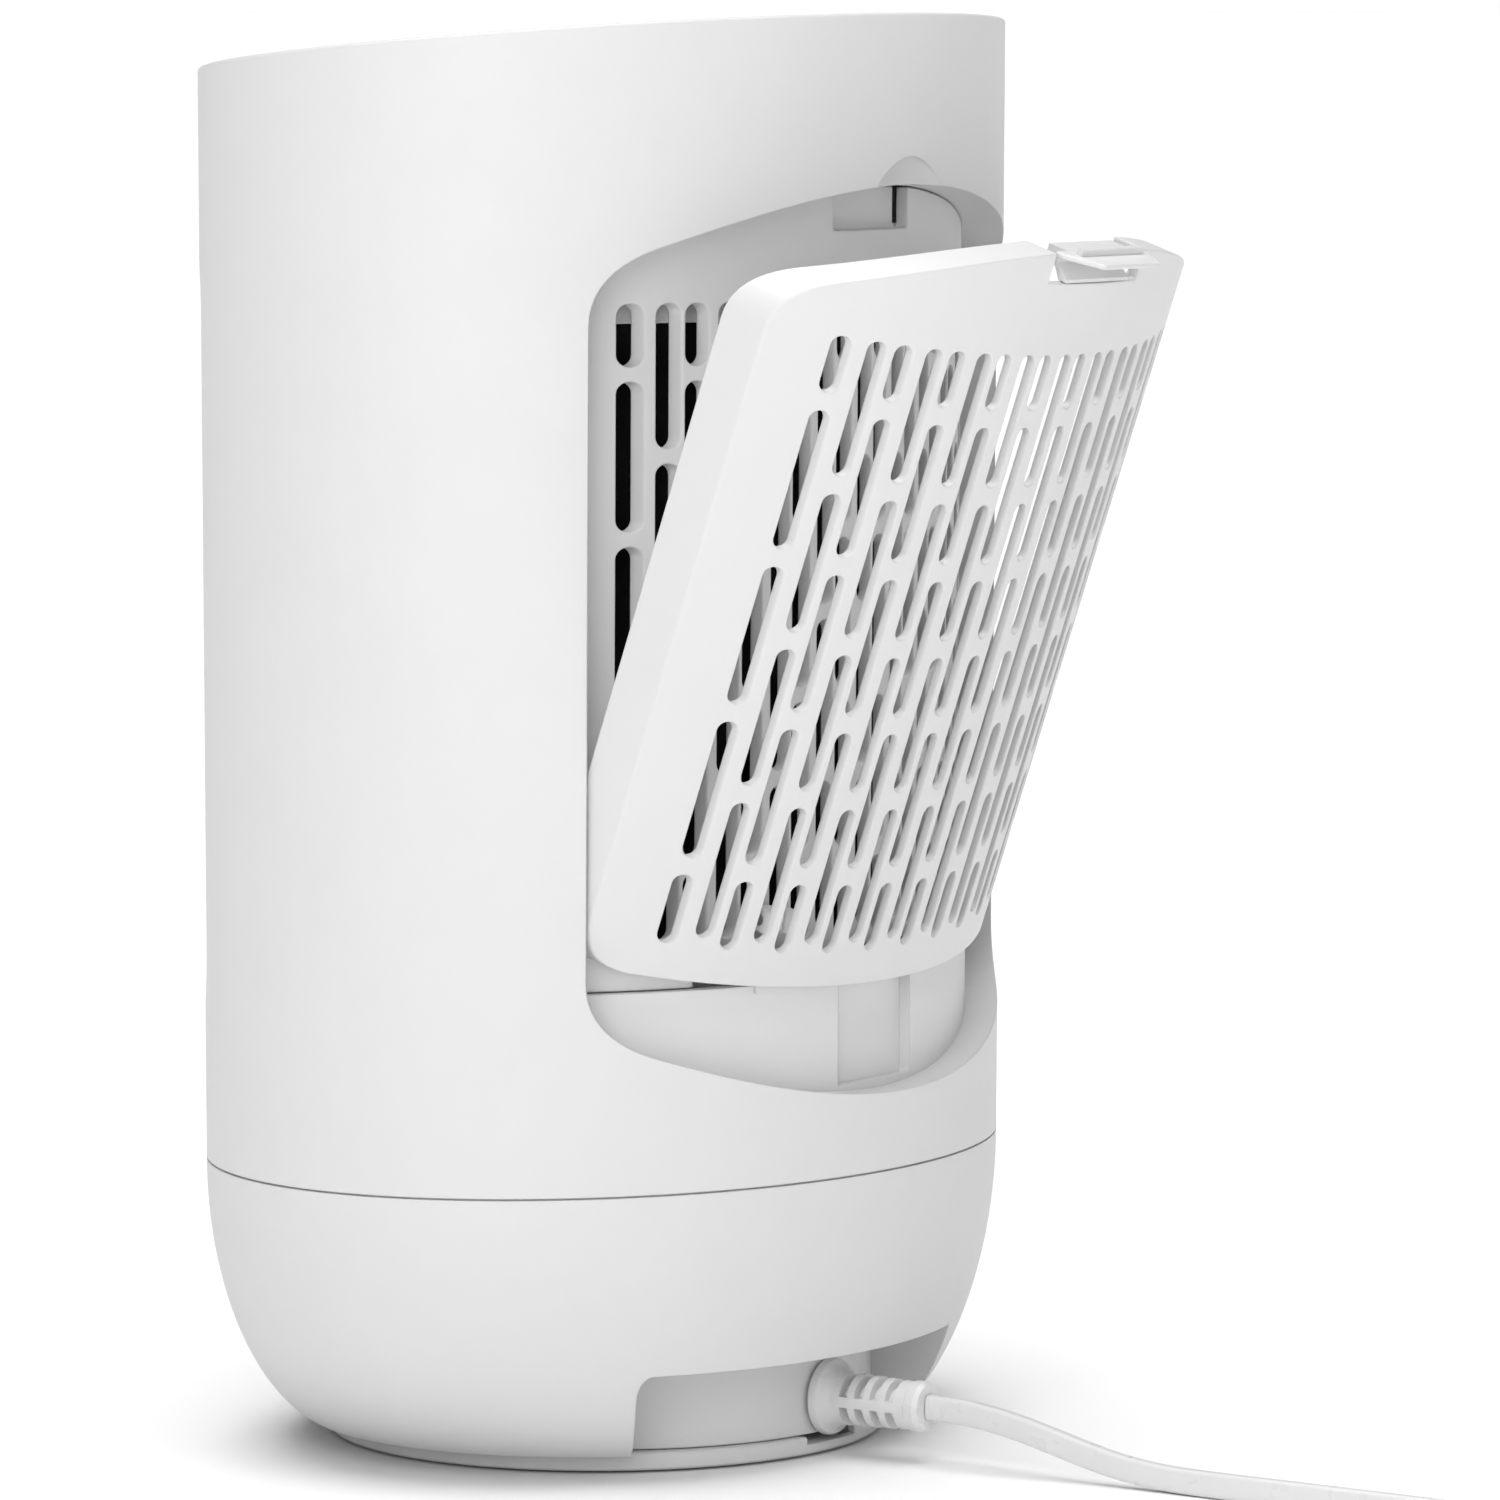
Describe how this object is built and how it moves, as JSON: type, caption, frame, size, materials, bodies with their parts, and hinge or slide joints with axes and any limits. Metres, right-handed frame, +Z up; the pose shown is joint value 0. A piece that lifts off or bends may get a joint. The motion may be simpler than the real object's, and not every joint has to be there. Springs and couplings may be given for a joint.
{
  "type": "air purifier",
  "caption": "Oval table-top air purifier with a slotted intake cover on each side, one open on its hinge, a louvred outlet above a fan, filters and a mains cord.",
  "frame": {"origin": "on the floor, at the centre of the base pad", "axes": "+Z up; -Y out of the front, with the closed intake cover; +Y out of the rear, where the intake cover stands open and the cord leaves; +X along the width"},
  "size_m": [0.252, 0.467, 0.3815],
  "materials": {
    "housing": "white, very fine matte grain",
    "cover": "white, smooth satin",
    "gloss": "white, smooth and slightly glossy",
    "grey": "light grey satin",
    "dark": "dark grey, matt",
    "carbon": "active-carbon felt",
    "filter": "pleated fibre paper",
    "rubber": "matt",
    "board": "circuit board",
    "steel": "plated",
    "brass": "plated",
    "lens": "smoked window"
  },
  "bodies": {
    "housing": {"upper_shell": "housing", "lower_shell": "housing", "base_plate": "housing", "base_pad": "rubber", "base_screw_1": "steel", "base_screw_2": "steel", "base_screw_3": "steel", "base_screw_4": "steel", "rear_grille": "housing", "front_cover": "cover", "hinge_pin_left": "steel", "hinge_pin_right": "steel", "rear_filter_frame": "grey", "front_filter_frame": "grey", "rear_carbon_sheet": "carbon", "front_carbon_sheet": "carbon", "rear_pleated_filter": "filter", "front_pleated_filter": "filter", "fan_duct": "grey", "motor_mount": "grey", "fan_motor": "steel", "top_grille": "cover", "control_panel": "gloss", "display_lens": "lens", "control_board": "board", "power_board": "board", "motor_lead": "dark", "strain_relief": "gloss", "power_cord": "gloss", "cord_coil": "gloss", "cord_tie": "dark", "plug_body": "gloss", "plug_blade_1": "brass", "plug_blade_2": "brass"},
    "cover": {"rear_cover": "cover"},
    "latch": {"cover_latch": "cover"},
    "fan": {"motor_shaft": "steel", "impeller": "dark", "impeller_nut": "brass"},
    "power_key": {"power_button": "cover"},
    "speed_key": {"speed_button": "cover"},
    "timer_key": {"timer_button": "cover"},
    "night_key": {"night_button": "cover"}
  },
  "joints": [
    {"name": "cover_hinge", "type": "hinge", "parent": "housing", "child": "cover", "pos_m": [0, 0.0833, 0.1478], "axis": [1, 0, 0], "range_deg": [0, 18.9]},
    {"name": "latch_flex", "type": "hinge", "parent": "cover", "child": "latch", "pos_m": [0, 0.15317, 0.31298], "axis": [-1, 0, 0], "range_deg": [0, 7], "stiffness_Nm_per_rad": 0.4},
    {"name": "fan_spin", "type": "hinge", "parent": "housing", "child": "fan", "pos_m": [0, 0, 0.335], "axis": [0, 0, 1], "continuous": true},
    {"name": "power_press", "type": "slide", "parent": "housing", "child": "power_key", "axis": [0, 0, -1], "range_m": [0, 0.0012], "stiffness_N_per_m": 1500},
    {"name": "speed_press", "type": "slide", "parent": "housing", "child": "speed_key", "axis": [0, 0, -1], "range_m": [0, 0.0012], "stiffness_N_per_m": 1500},
    {"name": "timer_press", "type": "slide", "parent": "housing", "child": "timer_key", "axis": [0, 0, -1], "range_m": [0, 0.0012], "stiffness_N_per_m": 1500},
    {"name": "night_press", "type": "slide", "parent": "housing", "child": "night_key", "axis": [0, 0, -1], "range_m": [0, 0.0012], "stiffness_N_per_m": 1500}
  ]
}
